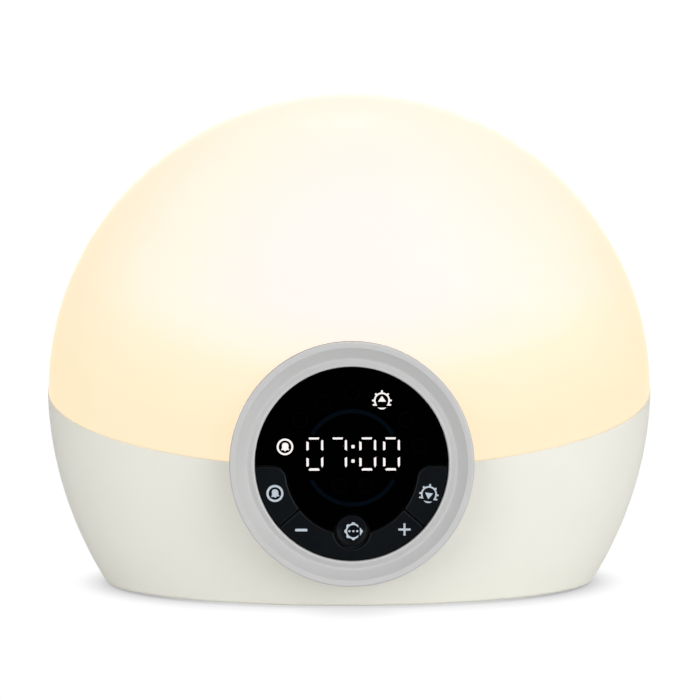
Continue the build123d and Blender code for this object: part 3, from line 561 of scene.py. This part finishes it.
# the contact shadow is deepest at the two ends of the body and faint along its front
f_tex = fnt.nodes.new("ShaderNodeTexCoord")
f_sep = fnt.nodes.new("ShaderNodeSeparateXYZ")
fnt.links.new(f_tex.outputs["Object"], f_sep.inputs[0])
f_ends = fnt.nodes.new("ShaderNodeMapRange")
f_ends.interpolation_type = "SMOOTHSTEP"
f_ends.inputs["From Min"].default_value = 0.030
f_ends.inputs["From Max"].default_value = 0.078
f_ends.inputs["To Min"].default_value = 0.42
f_ends.inputs["To Max"].default_value = 0.78
fnt.links.new(fmath("ABSOLUTE", f_sep.outputs["X"], 0.0), f_ends.inputs["Value"])
f_keep = fmath("SUBTRACT", 1.0, fmath("MULTIPLY", fmath("SUBTRACT", 1.0, f_ramp.outputs["Color"]), f_ends.outputs["Result"]))
f_grey = fnt.nodes.new("ShaderNodeCombineXYZ")
for i in range(3):
    fnt.links.new(f_keep, f_grey.inputs[i])
fnt.links.new(f_grey.outputs[0], f_glow.inputs["Color"])
fnt.links.new(f_path.outputs["Is Camera Ray"], f_mix.inputs["Fac"])
fnt.links.new(f_both.outputs[0], f_mix.inputs[1])
fnt.links.new(f_glow.outputs[0], f_mix.inputs[2])
fnt.links.new(f_mix.outputs[0], f_out.inputs["Surface"])
me.materials.append(fm)

world = bpy.data.worlds.new("studio")
scene.world = world
world.use_nodes = True
wn = world.node_tree
wn.nodes.clear()
wout = wn.nodes.new("ShaderNodeOutputWorld")
bg = wn.nodes.new("ShaderNodeBackground")
wn.links.new(bg.outputs[0], wout.inputs[0])
wc = wn.nodes.new("ShaderNodeTexCoord")


def wmath(op, a, b):
    n = wn.nodes.new("ShaderNodeMath")
    n.operation = op
    for i, v in enumerate((a, b)):
        if isinstance(v, (int, float)):
            n.inputs[i].default_value = v
        else:
            wn.links.new(v, n.inputs[i])
    return n.outputs[0]


def lobe(axis, power, amount):
    """Soft light from one side of the room."""
    n = wn.nodes.new("ShaderNodeVectorMath")
    n.operation = "DOT_PRODUCT"
    wn.links.new(wc.outputs["Generated"], n.inputs[0])
    n.inputs[1].default_value = Vector(axis).normalized()
    return wmath("MULTIPLY", wmath("POWER", wmath("MAXIMUM", n.outputs["Value"], 0.0), power), amount)


# two large softboxes either side of the lens, a smaller one on the right, weak fill elsewhere, dark behind the lens
total = None
for axis, power, amount in (((0.9, -0.4, 0.15), 8, 1.00), ((-0.6, -0.75, 0.25), 8, 3.30), ((0.6, -0.75, 0.25), 8, 3.42),
                            ((0, 1, 0.1), 8, 2.40), ((-1, 0.1, 0), 4, -0.30), ((0, 0, 1), 2, 0.25), ((0, -0.987, 0.16), 22, -0.97)):
    part = lobe(axis, power, amount)
    total = part if total is None else wmath("ADD", total, part)
wn.links.new(wmath("MAXIMUM", total, 0.0), bg.inputs["Strength"])
bg.inputs["Color"].default_value = (1.0, 1.0, 1.0, 1)


def area(name, loc, aim, size, power, size_y=None):
    d = bpy.data.lights.new(name, "AREA")
    d.shape = "RECTANGLE" if size_y else "SQUARE"
    d.size = size
    if size_y:
        d.size_y = size_y
    d.energy = power
    o = bpy.data.objects.new(name, d)
    o.location = loc
    o.rotation_euler = (Vector(aim) - Vector(loc)).to_track_quat("-Z", "Y").to_euler()
    scene.collection.objects.link(o)
    return o


area("top_strip", (0.0, 0.14, 1.10), (0, 0, 0.06), 0.42, 2.2, 0.03)

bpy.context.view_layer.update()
